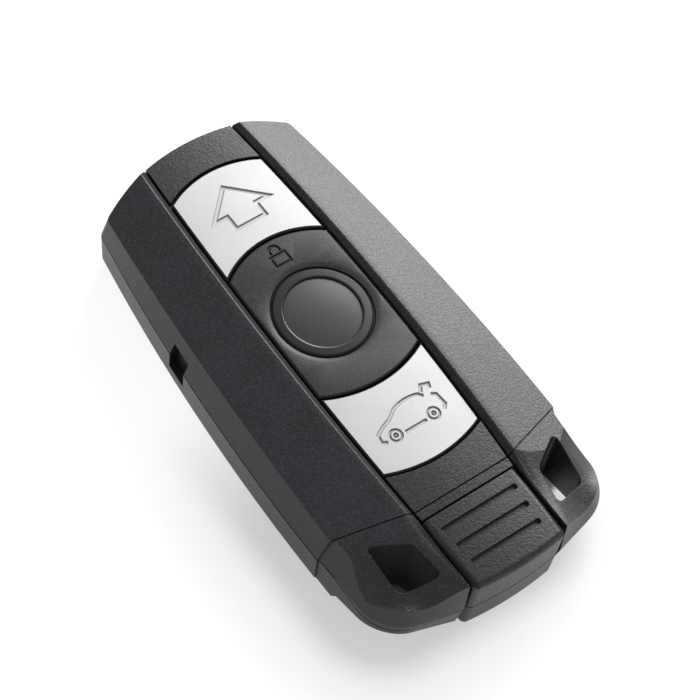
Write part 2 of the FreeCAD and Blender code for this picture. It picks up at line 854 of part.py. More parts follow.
def lock_button():
    solid = button_cap(lock_top_arc, lock_bottom_arc, lock_top_arc, lock_bottom_arc, ring_y)
    high = strip_crest_z + 1.0
    low = strip_crest_z - dish_depth
    ring_z = strip_crest_z - ring_top_drop
    seat = cylinder(ring_inner_radius + 1.0, 0, ring_y, disc_seat_z() - 0.8, strip_crest_z - button_skin / 2)
    solid = solid.fuse(seat)
    dish = revolved([
        (0, high), (dish_radius, high), (dish_radius, strip_crest_z),
        (ring_outer_radius + ring_groove_width, low),
        (ring_outer_radius, low), (ring_outer_radius - ring_groove_width, ring_z), (0, ring_z),
    ])
    seat = cylinder(ring_inner_radius, 0, ring_y, disc_seat_z(), high)
    return one_solid(solid.cut(dish).cut(seat))


def centre_disc():
    # A flat-bottomed disc under a shallow spherical dome
    radius = ring_inner_radius - disc_clearance
    base_z = disc_seat_z()
    crown_z = base_z + disc_thickness - ring_groove_width + disc_dome
    dome_radius = (radius**2 + disc_dome**2) / (2 * disc_dome)
    ball = Part.makeSphere(dome_radius, V(0, ring_y, crown_z - dome_radius), V(1, 0, 0))
    return cylinder(radius, 0, ring_y, base_z, crown_z + 1.0).common(ball)


# Keypad, switches and board
switch_places = {"unlock": unlock_switch_y, "lock": ring_y, "trunk": trunk_switch_y}


def keypad_sheet():
    top = moved_arc(unlock_top_arc, sheet_margin)
    bottom = moved_arc(trunk_bottom_arc, -sheet_margin)
    z0 = sheet_top_z - sheet_thickness
    sheet = extrude_up(row_outline(top, bottom, sheet_margin, z0), sheet_thickness)
    for y in switch_places.values():
        sheet = sheet.cut(cylinder(pad_radius + pad_clearance, 0, y, z0 - 1, z0 + 1))
    return sheet


def pad(y):
    return cylinder(pad_radius, 0, y, plunger_top_z, stem_bottom_z)


def plunger(y):
    return cylinder(plunger_radius, 0, y, plunger_top_z - plunger_stand - plunger_sink, plunger_top_z)


def switch_body(y):
    half = switch_side / 2
    points = [(-half, y - half), (half, y - half), (half, y + half), (-half, y + half)]
    solid = extrude_up(rounded_polygon(points, [0.5] * 4, board_top_z), switch_height)
    depth_z = plunger_top_z - plunger_stand - plunger_sink - button_travel - 0.05
    return solid.cut(cylinder(plunger_radius + plunger_clearance, 0, y, depth_z, switch_top_z + 1))


def circuit_board():
    y0 = ring_y - board_tail_shift
    y1 = ring_y + board_top_shift
    half = board_half_width
    points = [(-half, y0), (half, y0), (half, y1), (-half, y1)]
    board = extrude_up(rounded_polygon(points, [board_corner] * 4, board_bottom_z), board_thickness)
    for x, y in post_places:
        board = board.cut(cylinder(peg_radius + peg_clearance, x, y, board_bottom_z - 1, board_top_z + 1))
    return board


def board_part(length, width, height, x, y):
    points = [(x - width / 2, y - length / 2), (x + width / 2, y - length / 2)]
    points += [(x + width / 2, y + length / 2), (x - width / 2, y + length / 2)]
    return extrude_up(rounded_polygon(points, [0.3] * 4, board_top_z), height)


def coin_cell():
    can = cylinder(cell_radius, 0, cell_y, cell_bottom_z, cell_top_z)
    rim = [e for e in can.Edges if e.BoundBox.XLength > cell_radius]
    return can.makeChamfer(cell_edge_break, rim)


def cell_contact_top():
    y0 = cell_y - contact_width / 2
    strip = box(
        -cell_radius * 0.5, cell_radius * 0.9, y0, y0 + contact_width,
        cell_top_z, cell_top_z + contact_thickness,
    )
    x0 = cell_radius * 0.9
    leg = box(x0 - contact_thickness, x0, y0, y0 + contact_width, cell_top_z, board_bottom_z)
    return one_solid(strip.fuse(leg))


def cell_contact_bottom():
    y0 = cell_y - contact_width / 2
    x0 = -cell_radius - cradle_clearance - cradle_wall - small_clearance
    strip = box(x0, -cell_radius * 0.3, y0, y0 + contact_width, guide_top_z, guide_top_z + contact_thickness)
    leg = box(x0, x0 + contact_thickness, y0, y0 + contact_width, guide_top_z, board_bottom_z)
    return one_solid(strip.fuse(leg))


def antenna_core_bar():
    y = ring_y + antenna_shift
    half = antenna_core / 2
    return box(
        antenna_x - half, antenna_x + half, y - antenna_length / 2, y + antenna_length / 2,
        antenna_z - half, antenna_z + half,
    )


def antenna_coil():
    y0 = ring_y + antenna_shift - antenna_winding_length / 2
    coil = Part.makeCylinder(antenna_radius, antenna_winding_length, V(antenna_x, y0, antenna_z), V(0, 1, 0))
    return coil.cut(antenna_core_bar())


# Key guide under the board, with the cell's cradle on its roof
def blade_guide():
    y0 = shank_tip_y + guide_start_clearance
    y1 = blade_tip_y + guide_clearance + guide_end_wall
    half = guide_half_width
    points = [(-half, y0), (half, y0), (half, y1), (-half, y1)]
    solid = extrude_up(rounded_polygon(points, [0.6, 0.6, 1.5, 1.5], floor_wall), guide_top_z - floor_wall)
    cradle = cylinder(cell_radius + cradle_clearance + cradle_wall, 0, cell_y, floor_wall, cell_top_z - 0.6)
    cradle = cradle.cut(cylinder(cell_radius + cradle_clearance, 0, cell_y, guide_top_z, cell_top_z))
    hollow = cylinder(cell_radius - 1.0, 0, cell_y, 0, guide_top_z - 0.6)
    cradle = cradle.cut(hollow)
    solid = solid.fuse(cradle)
    blade_half = blade_width / 2 + guide_clearance
    channel = box(
        -blade_half, blade_half, y0 - 1, blade_tip_y + guide_clearance,
        blade_bottom_z - guide_clearance, blade_top_z + guide_clearance,
    )
    slots = box(
        -cell_radius * 2, cell_radius, cell_y - contact_width / 2 - 0.1, cell_y + contact_width / 2 + 0.1,
        guide_top_z, cell_top_z + 1,
    )
    return one_solid(solid.cut(channel).cut(slots))


# Key
def tab_outline(z, inset):
    return barrel_outline(
        z, tab_half_width, tab_side_radius, head_y, tail_y, tab_end_radius, tab_corner_radius, head_y, inset, -1
    )


def tab_groove(index):
    y = ring_y - tab_groove_first - index * tab_groove_pitch
    half = (tab_groove_length - index * tab_groove_taper) / 2
    low_z = tab_top_z - tab_groove_depth
    r = tab_groove_width / 2
    points = [(-half, y - r), (half, y - r), (half, y + r), (-half, y + r)]
    return extrude_up(rounded_polygon(points, [r * 0.98] * 4, low_z), 2.0)


def tab_part_line():
    return part_line(tab_outline(part_line_z - joint_line_width / 2, joint_line_depth))


def key_head_upper():
    solid = extrude_up(tab_outline(part_line_z, 0), tab_top_z - part_line_z)
    ends = [e for e in solid.Edges if e.BoundBox.ZMin > tab_top_z - 0.01 and e.BoundBox.YMax < head_y - 1]
    solid = solid.makeFillet(tab_edge_round, ends)
    for index in range(tab_groove_count):
        solid = solid.cut(tab_groove(index))
    return one_solid(solid.cut(tab_part_line()))


def key_head_lower():
    outlines = [tab_outline(0, tab_bevel_inset), tab_outline(tab_bevel_height, 0), tab_outline(part_line_z, 0)]
    solid = stack(outlines)
    solid = solid.cut(tab_part_line())
    half = shank_half_width
    points = [(-half, head_y - 1), (half, head_y - 1), (half, shank_tip_y), (-half, shank_tip_y)]
    shank = extrude_up(rounded_polygon(points, [0, 0, 1.0, 1.0], shank_bottom_z), shank_top_z - shank_bottom_z)
    notch_y = release_tooth_width / 2 + release_clearance
    notch = box(
        half - notch_depth, half + 1, release_y - notch_y, release_y + notch_y,
        shank_bottom_z - 1, shank_top_z + 1,
    )
    solid = solid.fuse(shank.cut(notch))
    slot = box(
        -blade_width / 2 - pin_clearance, blade_width / 2 + pin_clearance,
        shank_tip_y - blade_root - pin_clearance, shank_tip_y + 1,
        blade_bottom_z - pin_clearance, blade_top_z + pin_clearance,
    )
    pin_y = shank_tip_y - blade_root / 2
    hole = cylinder(pin_radius + pin_clearance, 0, pin_y, shank_bottom_z - 1, shank_top_z + 1)
    return one_solid(solid.cut(slot).cut(hole))


def key_blade():
    half = blade_width / 2
    y0 = shank_tip_y - blade_root
    tip = blade_tip_y
    points = [(-half, y0), (half, y0), (half, tip - blade_tip_length), (half * 0.35, tip)]
    points += [(-half * 0.35, tip), (-half, tip - blade_tip_length)]
    solid = extrude_up(rounded_polygon(points, [0.4, 0.4, 1.0, 0.8, 0.8, 1.0], blade_bottom_z), blade_thickness)
    track = blade_track_width / 2
    track_y = shank_tip_y + 1.5
    lower_track = (blade_bottom_z - 1, blade_bottom_z + blade_track_depth)
    upper_track = (blade_top_z - blade_track_depth, blade_top_z + 1)
    for z0, z1 in (lower_track, upper_track):
        solid = solid.cut(box(-track, track, track_y, tip + 1, z0, z1))
    pin_y = shank_tip_y - blade_root / 2
    return one_solid(solid.cut(cylinder(pin_radius + pin_clearance, 0, pin_y, 0, above_z)))


def blade_pin():
    pin_y = shank_tip_y - blade_root / 2
    return cylinder(pin_radius, 0, pin_y, shank_bottom_z, shank_top_z)


# Release slide and its spring
def release_slide():
    half_x = release_pad_width / 2
    half_y = release_pad_length / 2
    points = [(-half_x, release_y - half_y), (half_x, release_y - half_y)]
    points += [(half_x, release_y + half_y), (-half_x, release_y + half_y)]
    plate_z0 = floor_wall + 0.05
    plate_z1 = plate_z0 + release_plate_thickness
    pad_solid = extrude_up(rounded_polygon(points, [0.6] * 4, release_recess), plate_z1 - release_recess)
    for step in (-1, 0, 1):
        x = step * half_x * 0.5
        rib_gap = box(x - 0.25, x + 0.25, release_y - half_y, release_y + half_y, 0, release_recess + 0.3)
        pad_solid = pad_solid.cut(rib_gap)
    arm_x0 = spring_x - release_tooth_thickness
    reach_y = half_y + release_plate_margin
    plate = box(-half_x - 1.0, spring_x, release_y - reach_y, release_y + reach_y, plate_z0, plate_z1)
    tooth_y = release_tooth_width / 2
    tooth_top_z = plate_z1 + release_tooth_height
    tooth = box(arm_x0, spring_x, release_y - tooth_y, release_y + tooth_y, plate_z0, tooth_top_z)
    return one_solid(pad_solid.fuse(plate).fuse(tooth))


def spring_stop():
    # The rib on the rear cover's floor that the release spring pushes against
    x0 = spring_x + spring_length
    half_y = spring_radius + 0.5
    return box(x0, x0 + 1.2, release_y - half_y, release_y + half_y, floor_wall / 2, spring_z + spring_radius)


def release_spring():
    start = V(spring_x, release_y, spring_z)
    tube = Part.makeCylinder(spring_radius, spring_length, start, V(1, 0, 0))
    return tube.cut(Part.makeCylinder(spring_radius * 0.6, spring_length, start, V(1, 0, 0)))


parts = {
    "front_cover": front_cover(),
    "rear_cover": rear_cover(),
    "ring_end_upper": ring_end_upper(),
    "ring_end_lower": ring_end_lower(),
    "unlock_button": unlock_button(),
    "lock_button": lock_button(),
    "centre_disc": centre_disc(),
    "trunk_button": trunk_button(),
    "keypad_sheet": keypad_sheet(),
    "circuit_board": circuit_board(),
    "control_chip": board_part(chip_side, chip_side, chip_height, chip_x, ring_y + chip_shift),
    "crystal": board_part(crystal_length, crystal_width, crystal_height, crystal_x, ring_y + chip_shift),
    "coin_cell": coin_cell(),
    "cell_contact_top": cell_contact_top(),
    "cell_contact_bottom": cell_contact_bottom(),
    "antenna_core": antenna_core_bar(),
    "antenna_coil": antenna_coil(),
    "blade_guide": blade_guide(),
    "key_head_upper": key_head_upper(),
    "key_head_lower": key_head_lower(),
    "key_blade": key_blade(),
    "blade_pin": blade_pin(),
    "release_slide": release_slide(),
    "release_spring": release_spring(),
}
for name, y in switch_places.items():
    parts[name + "_pad"] = pad(y)
    parts[name + "_plunger"] = plunger(y)
    parts[name + "_switch"] = switch_body(y)

os.makedirs("parts", exist_ok=True)
for name, shape in parts.items():
    shape.exportStep("parts/" + name + ".step")
    print(name, len(shape.Solids), round(shape.Volume, 3), shape.isValid())
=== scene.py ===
# %% [markdown]
# # Key fob shell
# A slot-in car fob of moulded black plastic: two covers, a ring end with two eyelets, three buttons in
# a row and a pull-out key. The CAD model has its true sizes and its motion. This script gives it its
# surfaces, cuts its pictograms, winds its wire, and stands it in a plain studio.

# %%
import bpy
import bmesh
import math
from mathutils import Matrix, Vector
from mathutils.bvhtree import BVHTree


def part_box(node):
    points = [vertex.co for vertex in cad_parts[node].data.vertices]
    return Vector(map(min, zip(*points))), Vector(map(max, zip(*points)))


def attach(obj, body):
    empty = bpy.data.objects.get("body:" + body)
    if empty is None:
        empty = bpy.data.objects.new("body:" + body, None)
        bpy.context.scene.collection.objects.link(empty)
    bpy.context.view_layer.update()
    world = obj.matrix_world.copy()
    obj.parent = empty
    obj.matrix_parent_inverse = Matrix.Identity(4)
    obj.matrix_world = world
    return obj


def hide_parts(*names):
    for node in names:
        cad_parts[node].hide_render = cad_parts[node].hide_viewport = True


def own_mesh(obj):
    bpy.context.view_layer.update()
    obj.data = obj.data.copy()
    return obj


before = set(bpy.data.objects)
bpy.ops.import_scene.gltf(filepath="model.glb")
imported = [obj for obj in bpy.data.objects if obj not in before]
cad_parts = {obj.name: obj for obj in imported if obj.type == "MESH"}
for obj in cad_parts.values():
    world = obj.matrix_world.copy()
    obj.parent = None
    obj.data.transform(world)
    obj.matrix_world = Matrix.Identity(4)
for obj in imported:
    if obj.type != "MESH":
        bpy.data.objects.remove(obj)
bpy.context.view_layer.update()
scene = bpy.context.scene
scene.view_settings.view_transform = "Standard"
MM = 0.001
print("CAD nodes:", len(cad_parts))

# %% [markdown]
# ## Sizes
# Everything is in metres in the CAD frame: X across the fob, Y towards the unlock end, Z up from the
# rest face. The lock ring's centre is the origin of the button row, so the places on the buttons are
# given from there. The strip is the row that the buttons lie in. It is widest near the middle, and its
# sides are wide arcs. Beside it the walls of the two lanes stand up, and their shoulders turn over.

# %%
RING_Y = 5.8 * MM
RING_OUTER = 6.9 * MM
RING_INNER = 5.5 * MM
STRIP_HALF = 8.5 * MM
STRIP_WIDEST_Y = 0.8 * MM
STRIP_SIDE_RADIUS = 480 * MM
CROWN_RADIUS = 75 * MM
WALL_WIDTH = 1.25 * MM
WALL_FOOT_Z = 12.2 * MM
SHOULDER_WIDTH = 1.1 * MM
SHOULDER_SLOPE = 0.16
KEY_PLACE = Vector((0.48, 0.28, 0.29))

# %% [markdown]
# ## Camera
# A long lens looks down at the fob from its left, tilted so that the row of buttons runs from the
# upper left to the lower right. The lens, the distance and the tilt come from matching the fob's
# paired corners.

# %%
AIM = Vector((-0.56, -1.01, 13.3)) * MM
CAMERA_AZIMUTH = math.radians(-141.29)
CAMERA_ELEVATION = math.radians(58.078)
CAMERA_ROLL = math.radians(16.81)
CAMERA_DISTANCE = 428.37 * MM
LENS = 164.571
SENSOR_WIDTH = 36
NEAREST = 0.01
FARTHEST = 20


def direction(azimuth, elevation):
    flat = math.cos(elevation)
    return Vector((flat * math.cos(azimuth), flat * math.sin(azimuth), math.sin(elevation)))


def make_camera():
    camera = bpy.data.objects.new("camera", bpy.data.cameras.new("camera"))
    scene.collection.objects.link(camera)
    place = AIM + direction(CAMERA_AZIMUTH, CAMERA_ELEVATION) * CAMERA_DISTANCE
    facing = (AIM - place).to_track_quat("-Z", "Y").to_matrix().to_4x4()
    camera.matrix_world = Matrix.Translation(place) @ facing @ Matrix.Rotation(CAMERA_ROLL, 4, "Z")
    camera.data.lens = LENS
    camera.data.sensor_width = SENSOR_WIDTH
    camera.data.clip_start = NEAREST
    camera.data.clip_end = FARTHEST
    scene.camera = camera
    return camera


camera = make_camera()
print("camera at", [round(v, 3) for v in camera.matrix_world.translation])

# %% [markdown]
# ## Shader maths
# A shader is a formula, so it reads best as one. Value wraps a socket, and the usual operators on it
# add the nodes. Everything else a material needs goes through the one method, add. A mix node has its
# sockets several times over, once for each kind of value, so those for a colour go by number.

# %%
EDGE_SOFTNESS = 0.10 * MM
EDGE_SAMPLES = 4
MIX_AMOUNT = 0
MIX_LOW = 6
MIX_HIGH = 7
MIX_COLOUR = 2


class Value:
    """One number or vector in a material, which grows nodes as it is reckoned with."""

    def __init__(self, shader, socket):
        self.shader = shader
        self.socket = socket

    def maths(self, operation, *others):
        return self.shader.add("ShaderNodeMath", 0, self, *others, operation=operation)

    def vector(self, operation, *others, output=0):
        return self.shader.add("ShaderNodeVectorMath", output, self, *others, operation=operation)

    def __add__(self, other):
        return self.maths("ADD", other)

    __radd__ = __add__

    def __sub__(self, other):
        return self.maths("SUBTRACT", other)

    def __rsub__(self, other):
        return self.shader.add("ShaderNodeMath", 0, other, self, operation="SUBTRACT")

    def __mul__(self, other):
        return self.maths("MULTIPLY", other)

    def absolute(self):
        return self.maths("ABSOLUTE")

    def minimum(self, other):
        return self.maths("MINIMUM", other)

    def maximum(self, other):
        return self.maths("MAXIMUM", other)

    def from_point(self, point):
        """A vector to this place from a point."""
        return self.vector("SUBTRACT", tuple(point))

    def flat_length(self):
        """A vector's length as seen from above."""
        return self.vector("MULTIPLY", (1.0, 1.0, 0.0)).length()

    def length(self):
        return self.vector("LENGTH", output="Value")

    def between(self, low, high):
        """0 below low, 1 above high, and a smooth step in between."""
        limits = [("Value", self), ("From Min", low), ("From Max", high)]
        smooth = {"interpolation_type": "SMOOTHSTEP"}
        return self.shader.add("ShaderNodeMapRange", "Result", settings=limits, **smooth)


class Shader:
    """A material made in code around one Principled BSDF."""

    def __init__(self, name):
        self.material = bpy.data.materials.new(name)
        self.material.use_nodes = True
        self.tree = self.material.node_tree
        self.surface = self.tree.nodes["Principled BSDF"]
        self.place = self.add("ShaderNodeTexCoord", "Object")

    def add(self, kind, output, *inputs, settings=(), **properties):
        node = self.tree.nodes.new(kind)
        for key, value in properties.items():
            setattr(node, key, value)
        for index, value in list(enumerate(inputs)) + list(settings):
            if isinstance(value, Value):
                self.tree.links.new(value.socket, node.inputs[index])
            else:
                node.inputs[index].default_value = value
        return Value(self, node.outputs[output])

    def axis(self, name):
        """One coordinate of the place, by its letter."""
        return self.add("ShaderNodeSeparateXYZ", name, self.place)

    def noise(self, size, detail=2.0, roughness=0.5, place=None):
        """Noise whose lumps are about this size in metres, from 0 to 1."""
        settings = [("Vector", place or self.place), ("Scale", 1.0 / size)]
        settings += [("Detail", detail), ("Roughness", roughness)]
        return self.add("ShaderNodeTexNoise", "Fac", settings=settings)

    def blend(self, amount, low, high):
        """A colour between low and high."""
        low, high = [(*c, 1.0) if isinstance(c, tuple) else c for c in (low, high)]
        settings = [(MIX_AMOUNT, amount), (MIX_LOW, low), (MIX_HIGH, high)]
        return self.add("ShaderNodeMix", MIX_COLOUR, settings=settings, data_type="RGBA")

    def soft_edges(self):
        """A normal that turns over the edges as if they were a little rounded."""
        radius = [("Radius", EDGE_SOFTNESS)]
        return self.add("ShaderNodeBevel", "Normal", settings=radius, samples=EDGE_SAMPLES)

    def bump(self, height, distance, under):
        """A normal over another, from a height of which 1 stands for the distance in metres."""
        settings = [("Height", height), ("Distance", distance), ("Normal", under)]
        return self.add("ShaderNodeBump", "Normal", settings=settings)

    def set(self, name, value):
        socket = self.surface.inputs[name]
        if isinstance(value, Value):
            self.tree.links.new(value.socket, socket)
        elif isinstance(value, tuple):
            socket.default_value = (*value, 1.0)
        else:
            socket.default_value = value


# %% [markdown]
# ## What the surfaces share
# The CAD strip is arched along its length but flat across. Its crown across is only a height in the
# materials, which falls with the square of the distance from the centre line, by half a millimetre at
# the strip's edge. It shades the faces and leaves the mesh as it is. The lanes' soft shoulders are a
# second height of that kind, and the rest of the disc's dome is a third, each about a tenth of a
# millimetre. A height given in metres has a distance of one metre. Most finishes are two noises mixed:
# a fine one for the grain and a slow one that keeps big faces from looking drawn.

# %%
METRE = 1.0
NARROW_MIX = (0.36, 0.64)
WIDE_MIX = (0.3, 0.7)


def grey(value):
    return (value, value, value)


def shade(colour, times):
    return tuple(c * times for c in colour)


def mixed(fine, slow, share):
    """Two noises as one, with this share of the first."""
    return fine * share + slow * (1 - share)


def swing(noise, amount):
    """A noise as a change about zero, with this much from its lowest to its highest."""
    return (noise - 0.5) * amount


def fallen(distance, radius):
    """How far a surface of this radius has fallen at a distance from its crest, as a height."""
    return distance * distance * (-0.5 / radius)


def crowned(shader):
    """The normal with soft edges and the strip's crown."""
    across = shader.axis("X").absolute().minimum(STRIP_HALF)
    return shader.bump(fallen(across, CROWN_RADIUS), METRE, shader.soft_edges())


def past_strip(shader):
    """How far out from the strip's curved edge, in metres."""
    along = shader.axis("Y") - STRIP_WIDEST_Y
    return shader.axis("X").absolute() - (STRIP_HALF + fallen(along, STRIP_SIDE_RADIUS))


def soft_shoulders(shader):
    """The normal with the strip's crown and the lanes' shoulders."""
    short = (WALL_WIDTH + SHOULDER_WIDTH - past_strip(shader)).maximum(0.0).minimum(SHOULDER_WIDTH)
    return shader.bump(fallen(short, SHOULDER_WIDTH / SHOULDER_SLOPE), METRE, crowned(shader))


def from_ring_centre(shader):
    """The distance across from the lock ring's centre, in metres."""
    return shader.place.from_point((0.0, RING_Y, 0.0)).flat_length()


# %% [markdown]
# ## Moulded plastic
# The case is spark-eroded tooling in black ABS: a fine even grain that glints where the light grazes
# it. One noise sets the grain, and a finer one breaks it up and drives the glint in the roughness. A
# few pale specks in the colour, also from the finer one, are painted glints. The walls beside the strip
# are in the tool's deepest corners, where the grain is coarse and dull, so they stay dark even under a
# grazing light. The disc is polished, with hardly any grain and only the faint haze that handling
# leaves.

# %%
GRAIN = 0.45 * MM
FINE_PART = 0.4
GRAIN_SHARE = 0.6
HEIGHT_SHARE = 0.75
CLOUD = 9 * MM
GRAIN_DARK = 0.5
GRAIN_PALE = 1.7
PAINTED_GLINT_SPECK = (0.64, 0.76)
PAINTED_GLINT_PALE = 5
GLINT_SWING = 0.30
CLOUD_SWING = 0.06
WALL_FADE = 0.1 * MM
WALL_DULLNESS = 0.5
HAZE = 5 * MM
HAZE_SWING = 0.05
HAZE_DARK = 0.9
HAZE_PALE = 1.1
POLISH = 0.08 * MM
POLISH_HEIGHT = 0.0008 * MM


def lane_walls(shader):
    """1 on the walls beside the strip and 0 elsewhere, with soft borders."""
    past = past_strip(shader)
    outer = past.between(WALL_WIDTH - 2.5 * WALL_FADE, WALL_WIDTH - WALL_FADE)
    wall = past.between(0, WALL_FADE) * (1.0 - outer)
    return wall * shader.axis("Z").between(WALL_FOOT_Z - 2 * WALL_FADE, WALL_FOOT_Z)


def moulded_plastic(name, colour, roughness, grain_height, grain_size=GRAIN, with_lanes=False):
    shader = Shader(name)
    grain = shader.noise(grain_size, roughness=0.6)
    fine = shader.noise(grain_size * FINE_PART, detail=1.0)
    cloud = shader.noise(CLOUD, detail=3.0, roughness=0.6)
    height = mixed(grain, fine, GRAIN_SHARE)
    mix = mixed(height, cloud, HEIGHT_SHARE).between(*NARROW_MIX)
    body = shader.blend(mix, shade(colour, GRAIN_DARK), shade(colour, GRAIN_PALE))
    # Pale specks in the colour are painted glints.
    shader.set("Base Color", shader.blend(fine.between(*PAINTED_GLINT_SPECK), body, shade(colour, PAINTED_GLINT_PALE)))
    rough = roughness + swing(fine, GLINT_SWING) + swing(cloud, CLOUD_SWING)
    if with_lanes:
        rough = rough + lane_walls(shader) * WALL_DULLNESS
    shader.set("Roughness", rough)
    under = soft_shoulders(shader) if with_lanes else crowned(shader)
    shader.set("Normal", shader.bump(height, grain_height, under))
    return shader.material


def smooth_plastic(name, colour, roughness, dome_radius=None):
    shader = Shader(name)
    under = shader.soft_edges()
    if dome_radius:
        under = shader.bump(fallen(from_ring_centre(shader), dome_radius), METRE, under)
    haze = shader.noise(HAZE, detail=3.0)
    fine = shader.noise(POLISH, detail=1.0)
    body = shader.blend(haze, shade(colour, HAZE_DARK), shade(colour, HAZE_PALE))
    shader.set("Base Color", body)
    shader.set("Roughness", roughness + swing(haze, HAZE_SWING))
    shader.set("Normal", shader.bump(fine, POLISH_HEIGHT, under))
    return shader.material


# %% [markdown]
# ## Lacquer and the lock panel
# The two outer buttons carry a pale satin lacquer with a fine metal flake. The lock panel is
# fine-grained, and the ring round its disc is polished: a flat bead, made as a height that depends on
# the distance from the ring's centre, because it is only a twentieth of a millimetre high.

# %%
FLAKE = 0.09 * MM
FLAKE_SHARE = 0.7
FLAKE_HEIGHT = 0.004 * MM
FLAKE_SWING = 0.10
LACQUER_CLOUD = 6 * MM
LACQUER_METALLIC = 0.12
LACQUER_ROUGHNESS = 0.55
RING_EDGE = 0.25 * MM
RING_FADE = 0.4 * MM
RING_SHADE = 0.8
RING_ROUGHNESS = 0.30
BEAD_HEIGHT = 0.05 * MM
PANEL_GRAIN = 0.3 * MM
PANEL_GRAIN_HEIGHT = 0.020 * MM
PANEL_GRAIN_SHARE = 0.7
PANEL_CLOUD = 7 * MM
PANEL_DARK = 0.6
PANEL_PALE = 1.6
PANEL_DULLNESS = 0.14
PANEL_SWING = 0.25


def satin_lacquer(name, darker, lighter):
    shader = Shader(name)
    flake = shader.noise(FLAKE, detail=1.0, roughness=0.6)
    cloud = shader.noise(LACQUER_CLOUD)
    mix = mixed(flake, cloud, FLAKE_SHARE).between(*WIDE_MIX)
    shader.set("Base Color", shader.blend(mix, grey(darker), grey(lighter)))
    shader.set("Metallic", LACQUER_METALLIC)
    shader.set("Roughness", LACQUER_ROUGHNESS + swing(flake, FLAKE_SWING))
    shader.set("Normal", shader.bump(flake, FLAKE_HEIGHT, crowned(shader)))
    return shader.material


def lock_panel(name, colour):
    shader = Shader(name)
    radius = from_ring_centre(shader)
    beyond = radius.between(RING_OUTER, RING_OUTER + RING_FADE)
    bead = 1.0 - radius.between(RING_OUTER - RING_EDGE, RING_OUTER)
    bead = bead * radius.between(RING_INNER, RING_INNER + RING_EDGE)
    grain = shader.noise(PANEL_GRAIN, roughness=0.6)
    cloud = shader.noise(PANEL_CLOUD, detail=3.0, roughness=0.6)
    mix = mixed(grain, cloud, PANEL_GRAIN_SHARE).between(*NARROW_MIX)
    body = shader.blend(mix, shade(colour, PANEL_DARK), shade(colour, PANEL_PALE))
    shader.set("Base Color", shader.blend(beyond, shade(colour, RING_SHADE), body))
    dullness = beyond * PANEL_DULLNESS + swing(grain, PANEL_SWING) * beyond
    shader.set("Roughness", RING_ROUGHNESS + dullness)
    beaded = shader.bump(bead, BEAD_HEIGHT, crowned(shader))
    shader.set("Normal", shader.bump(grain * beyond, PANEL_GRAIN_HEIGHT, beaded))
    return shader.material


# %% [markdown]
# ## Metals and board
# Inside there is little to see until the key is drawn out, but each piece still has the finish of its
# kind. Rolled and ground metal has fine lines along it, so its noise is stretched along one axis. The
# board's green mask shows its copper tracks as a faint relief.

# %%
ALONG_X = (1.0, 14.0, 14.0)
ALONG_Y = (14.0, 1.0, 14.0)
LINE_WIDTH = 0.25 * MM
LINE_SHARE = 0.6
LINE_SWING = 0.2
LINE_HEIGHT = 0.004 * MM
METAL_BLOT = 4 * MM
METAL_DARK = 0.8
WEAVE = 0.3 * MM
WEAVE_SWING = 0.12
TRACK_SPACING = 2.2 * MM
TRACK_EDGE = (0.05, 0.09)
TRACK_HEIGHT = 0.02 * MM
MASK_ON_COPPER = (0.02, 0.16, 0.06)
MASK_ON_BOARD = (0.01, 0.07, 0.03)
MASK_ROUGHNESS = 0.32
MASK_COAT = 0.3


def ground_metal(name, colour, roughness, stretch=ALONG_X):
    shader = Shader(name)
    stretched = shader.place.vector("MULTIPLY", stretch)
    lines = shader.noise(LINE_WIDTH * max(stretch), detail=3.0, place=stretched)
    blot = shader.noise(METAL_BLOT, detail=3.0, roughness=0.6)
    mix = mixed(lines, blot, LINE_SHARE).between(*WIDE_MIX)
    shader.set("Base Color", shader.blend(mix, shade(colour, METAL_DARK), colour))
    shader.set("Metallic", 1.0)
    shader.set("Roughness", roughness + swing(lines, LINE_SWING))
    shader.set("Normal", shader.bump(lines, LINE_HEIGHT, shader.soft_edges()))
    return shader.material


def board_mask(name):
    shader = Shader(name)
    weave = shader.noise(WEAVE)
    settings = [("Vector", shader.place), ("Scale", 1.0 / TRACK_SPACING)]
    to_edge = {"feature": "DISTANCE_TO_EDGE"}
    cells = shader.add("ShaderNodeTexVoronoi", "Distance", settings=settings, **to_edge)
    line = cells.between(*TRACK_EDGE)
    shader.set("Base Color", shader.blend(line, MASK_ON_COPPER, MASK_ON_BOARD))
    shader.set("Roughness", MASK_ROUGHNESS + swing(weave, WEAVE_SWING))
    shader.set("Coat Weight", MASK_COAT)
    shader.set("Normal", shader.bump(1.0 - line, TRACK_HEIGHT, shader.soft_edges()))
    return shader.material


# %% [markdown]
# ## Finishes
# One for each slot in the record, whose placeholder materials come in with the CAD model under the
# same names. A moulded finish is given its colour, its roughness, its grain's height and, where that
# isn't the shell's, its grain's size. A metal is given its colour and roughness.

# %%
SHELL = (0.0125, 0.0118, 0.0160)
PANEL = (0.0145, 0.0138, 0.0170)
DISC = (0.034, 0.033, 0.038)
SILICONE = (0.14, 0.14, 0.145)
EPOXY = (0.012, 0.012, 0.013)
FERRITE = (0.06, 0.06, 0.065)
NYLON = (0.10, 0.10, 0.105)
ACETAL = (0.55, 0.55, 0.53)
SHELL_GRAIN = 0.075 * MM
DISC_DOME = 130 * MM

